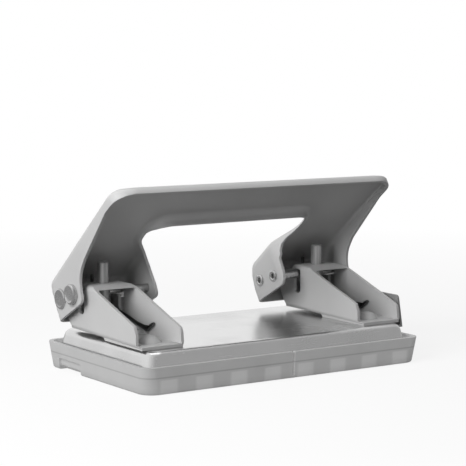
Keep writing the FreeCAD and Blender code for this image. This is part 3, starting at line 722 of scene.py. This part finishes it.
class PUNCH_OT_pins(bpy.types.Operator):
    """Turn the pivot and drive pins, and grind the punches"""
    bl_idname = "punch.pins"
    bl_label = "Pins and Punches"

    def execute(self, context):
        look = context.scene.punch_finishes
        steel = turned_steel(look)
        ground = ground_steel(look)
        for side, name in SIDES:
            for kind, head, y, z in (("pivot_pin_", PIVOT_HEAD, PIVOT_Y, PIVOT_Z),
                                     ("drive_pin_", DRIVE_HEAD, DRIVE_Y, DRIVE_Z)):
                height = head[-1][0]
                length = height + LEVER_HALF - ARM_INNER + ARM_NARROW
                rings = head + tuple((length + along, radius) for along, radius in CLINCH)
                pin = turned("turned_" + kind + name, (side * (LEVER_HALF + height), y, z),
                             (-side, 0, 0), rings)
                seat(pin, kind + name, steel)
            dress("punch_pin_" + name, ground)
        return {"FINISHED"}


def divided(piece):
    """Cut the spring's long straight edges into short ones, so that its leg can bend."""
    for edge in piece.data.edges:
        ends = [piece.data.vertices[index].co for index in edge.vertices]
        edge.select = (ends[0] - ends[1]).length > SPRING_LONG * MM
    bpy.ops.object.mode_set(mode="EDIT")
    bpy.ops.mesh.select_mode(type="EDGE")
    bpy.ops.mesh.subdivide(number_cuts=SPRING_CUTS)
    bpy.ops.mesh.select_mode(type="VERT")
    bpy.ops.object.mode_set(mode="OBJECT")


def bent_foot(piece):
    """Lower the spring's leg and bend its small hook up."""
    slope = math.radians(SPRING_SLOPE)
    forward = (math.cos(slope), math.sin(slope))
    for vertex in piece.data.vertices:
        y, z = vertex.co.y / MM - SPRING_HEEL[0], vertex.co.z / MM - SPRING_HEEL[1]
        ahead = y * forward[0] + z * forward[1]
        above = z * forward[0] - y * forward[1]
        if ahead > SPRING_LEG or above > SPRING_ABOVE:
            continue
        if ahead < HOOK_AHEAD:
            above -= HOOK_CLOSE * eased(above, *HOOK_ABOVE)
            lift = math.radians(HOOK_LIFT) * (1.0 - eased(ahead, HOOK_TIP, HOOK_AHEAD))
            back = HOOK_AHEAD - ahead
            ahead = HOOK_AHEAD - back * math.cos(lift) - above * math.sin(lift) * 0.5
            above = above * math.cos(lift) + back * math.sin(lift)
        above -= SPRING_DROP * (1.0 - eased(ahead, DROP_AHEAD, SPRING_LEG))
        vertex.co.y = (SPRING_HEEL[0] + ahead * forward[0] - above * forward[1]) * MM
        vertex.co.z = (SPRING_HEEL[1] + ahead * forward[1] + above * forward[0]) * MM


class PUNCH_OT_springs(bpy.types.Operator):
    """Bend and darken the return springs"""
    bl_idname = "punch.springs"
    bl_label = "Return Springs"

    def execute(self, context):
        wire = spring_steel(context.scene.punch_finishes)
        for _, name in SIDES:
            spring = copied("return_spring_" + name, "coiled_spring_" + name)
            divided(spring)
            bent_foot(spring)
            smooth(spring, WIRE_ANGLE)
            seat(spring, "return_spring_" + name, wire)
        return {"FINISHED"}


def area_light(name, place, aim, size, power):
    bpy.ops.object.light_add(type="AREA", location=place)
    lamp = bpy.context.object
    lamp.name = name
    lamp.rotation_euler = (Vector(aim) - Vector(place)).to_track_quat("-Z", "Y").to_euler()
    lamp.data.shape = "SQUARE"
    lamp.data.size = size
    lamp.data.energy = power
    return lamp


def ray_kinds(made):
    """Rays from the camera, rays that metal mirrors straight to it, and rays through the tray."""
    path = made.node("ShaderNodeLightPath")
    camera, glossy, through, bounces = (made.wire(path, name) for name in (
        "Is Camera Ray", "Is Glossy Ray", "Is Transmission Ray", "Diffuse Depth"))
    return camera, glossy * (1.0 - 0.5 * bounces.clamped()), through


def studio_floor(stage):
    """White to the camera with the punch's shadow on it, and grey as it lights the punch."""
    made = Finish("studio floor")
    camera, glossy, through = ray_kinds(made)
    place = made.wire(made.node("ShaderNodeTexCoord"), "Object")
    length = made.node("ShaderNodeVectorMath", {"operation": "LENGTH"}, Vector=place)
    distance = made.wire(length, "Value")
    pale = made.mix_shaders(
        FLOOR_NEAR + (1.0 - FLOOR_NEAR) * distance.between(*FLOOR_FADE),
        made.node("ShaderNodeBsdfDiffuse", Color=(1.0, 1.0, 1.0, 1.0)),
        made.node("ShaderNodeEmission", Color=(1.0, 1.0, 1.0, 1.0), Strength=1.0))
    matte = made.node("ShaderNodeBsdfDiffuse", Color=(*stage.floor, 1.0))
    seen = (camera + through + FLOOR_MIRRORED * glossy).clamped()
    made.finish_with(made.mix_shaders(seen, matte, pale))
    return made.material


def studio_world(stage):
    """Soft sky, white to the camera, and a darker room behind the camera for metal to mirror."""
    world = bpy.data.worlds.new("studio")
    world.use_nodes = True
    made = Nodes(world.node_tree)
    camera, glossy, through = ray_kinds(made)
    heading = made.wire(made.node("ShaderNodeTexCoord"), "Generated")
    facing = made.node("ShaderNodeVectorMath", {"operation": "DOT_PRODUCT"})
    made.tree.links.new(heading.socket, facing.inputs[0])
    facing.inputs[1].default_value = BRIGHT_SIDE
    facing = made.wire(facing, "Value").between(*BRIGHT_TURN)
    mirrored = stage.dim + (1.0 - stage.dim) * facing
    seen = (camera + through).clamped()
    strength = seen + glossy * mirrored + (1.0 - (seen + glossy).clamped()) * stage.sky
    sky = made.node("ShaderNodeBackground", Color=(1.0, 1.0, 1.0, 1.0), Strength=strength)
    made.finish_with(sky, "ShaderNodeOutputWorld")
    return world


class PUNCH_OT_stage(bpy.types.Operator):
    """Set the floor, the lights, the background and the camera"""
    bl_idname = "punch.stage"
    bl_label = "Stage"

    def execute(self, context):
        stage = context.scene.punch_stage
        bpy.ops.object.select_all(action="DESELECT")
        bpy.ops.mesh.primitive_plane_add(size=FLOOR_SIZE, location=(0.0, 0.0, -FLOOR_DROP))
        floor = context.object
        floor.name = "studio_floor"
        floor.data.materials.append(studio_floor(stage))

        key = area_light("key", KEY_PLACE, KEY_AIM, KEY_SIZE, stage.key)
        key.visible_glossy = False
        area_light("top", TOP_PLACE, TOP_AIM, TOP_SIZE, stage.top)
        context.scene.world = studio_world(stage)

        bpy.ops.object.camera_add(location=CAMERA_PLACE)
        camera = context.object
        camera.name = "photo_camera"
        camera.rotation_euler = Vector(CAMERA_HEADING).to_track_quat("-Z", "Y").to_euler()
        camera.data.lens = stage.focal_length
        camera.data.sensor_width = SENSOR_WIDTH
        context.scene.camera = camera
        context.scene.view_settings.view_transform = "Standard"
        return {"FINISHED"}


STEPS = (PUNCH_OT_base, PUNCH_OT_tray, PUNCH_OT_gauge, PUNCH_OT_brackets, PUNCH_OT_lever,
         PUNCH_OT_pins, PUNCH_OT_springs, PUNCH_OT_stage)


class PUNCH_PT_panel(bpy.types.Panel):
    """Buttons, sizes and colours of the paper punch"""
    bl_idname = "PUNCH_PT_panel"
    bl_label = "Paper Punch"
    bl_space_type = "VIEW_3D"
    bl_region_type = "UI"
    bl_category = "Punch"

    def draw(self, context):
        scene = context.scene
        for group in (scene.punch_finishes, scene.punch_sizes, scene.punch_stage):
            for key in group.__annotations__:
                self.layout.prop(group, key)
        for step in STEPS:
            self.layout.operator(step.bl_idname)


CLASSES = (PunchFinishes, PunchSizes, PunchStage, *STEPS, PUNCH_PT_panel)


def register():
    for each in CLASSES:
        bpy.utils.register_class(each)
    bpy.types.Scene.punch_finishes = PointerProperty(type=PunchFinishes)
    bpy.types.Scene.punch_sizes = PointerProperty(type=PunchSizes)
    bpy.types.Scene.punch_stage = PointerProperty(type=PunchStage)


def unregister():
    del bpy.types.Scene.punch_stage
    del bpy.types.Scene.punch_sizes
    del bpy.types.Scene.punch_finishes
    for each in reversed(CLASSES):
        bpy.utils.unregister_class(each)


def main():
    register()
    for step in STEPS:
        group, name = step.bl_idname.split(".")
        getattr(getattr(bpy.ops, group), name)()


if __name__ == "__main__":
    main()
